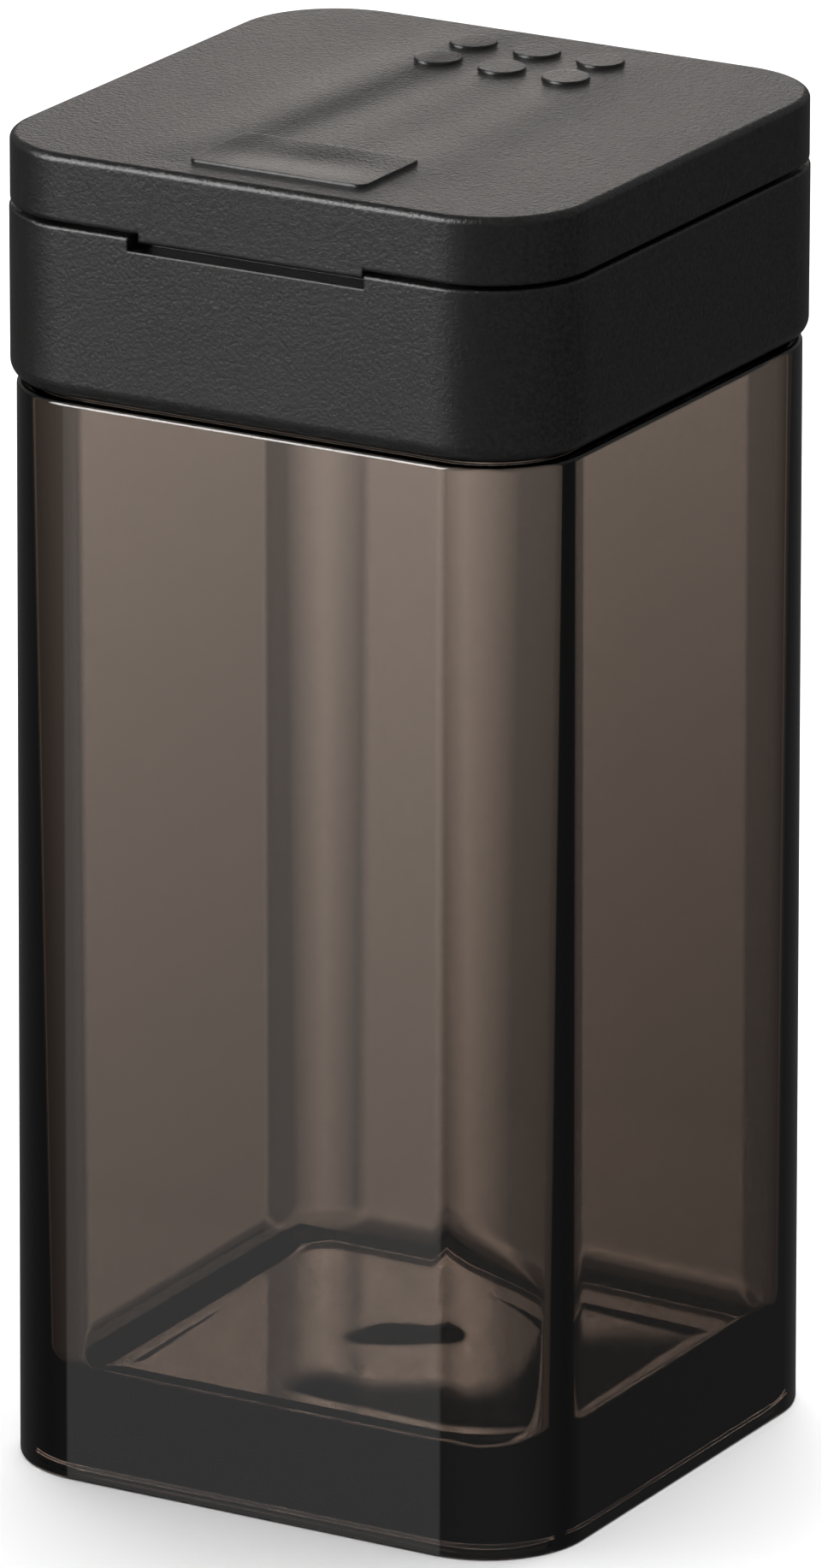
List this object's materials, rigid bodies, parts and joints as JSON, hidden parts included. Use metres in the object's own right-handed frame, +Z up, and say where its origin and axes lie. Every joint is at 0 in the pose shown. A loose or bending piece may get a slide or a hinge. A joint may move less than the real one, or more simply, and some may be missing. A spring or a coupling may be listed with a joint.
{
  "type": "spice bottle with flip-top cap",
  "caption": "Square smoke-coloured spice bottle with a thick base and a black push-on cap, whose hinged lid covers a pour opening and shaker holes.",
  "frame": {"origin": "centre of the bottle's underside, where it rests", "axes": "+Z up along the bottle, -Y towards the lid's finger tab, +Y towards the hinge, +X to the right seen from the tab side"},
  "size_m": [0.045, 0.045, 0.0975],
  "materials": {
    "smoke_resin": "gloss",
    "black_plastic": "fine spark-eroded texture, matte",
    "silicone": "satin"
  },
  "bodies": {
    "bottle_body": {"bottle": "smoke_resin"},
    "cap": {"collar": "black_plastic", "neck_gasket": "silicone"},
    "lid": {"flip_lid": "black_plastic", "lid_seal": "silicone"}
  },
  "joints": [
    {"name": "cap_lift", "type": "slide", "parent": "bottle_body", "child": "cap", "axis": [0, 0, 1], "range_m": [0, 0.03]},
    {"name": "lid_hinge", "type": "hinge", "parent": "cap", "child": "lid", "pos_m": [0, 0.0209, 0.0939], "axis": [-1, 0, 0], "range_deg": [0, 97]}
  ]
}
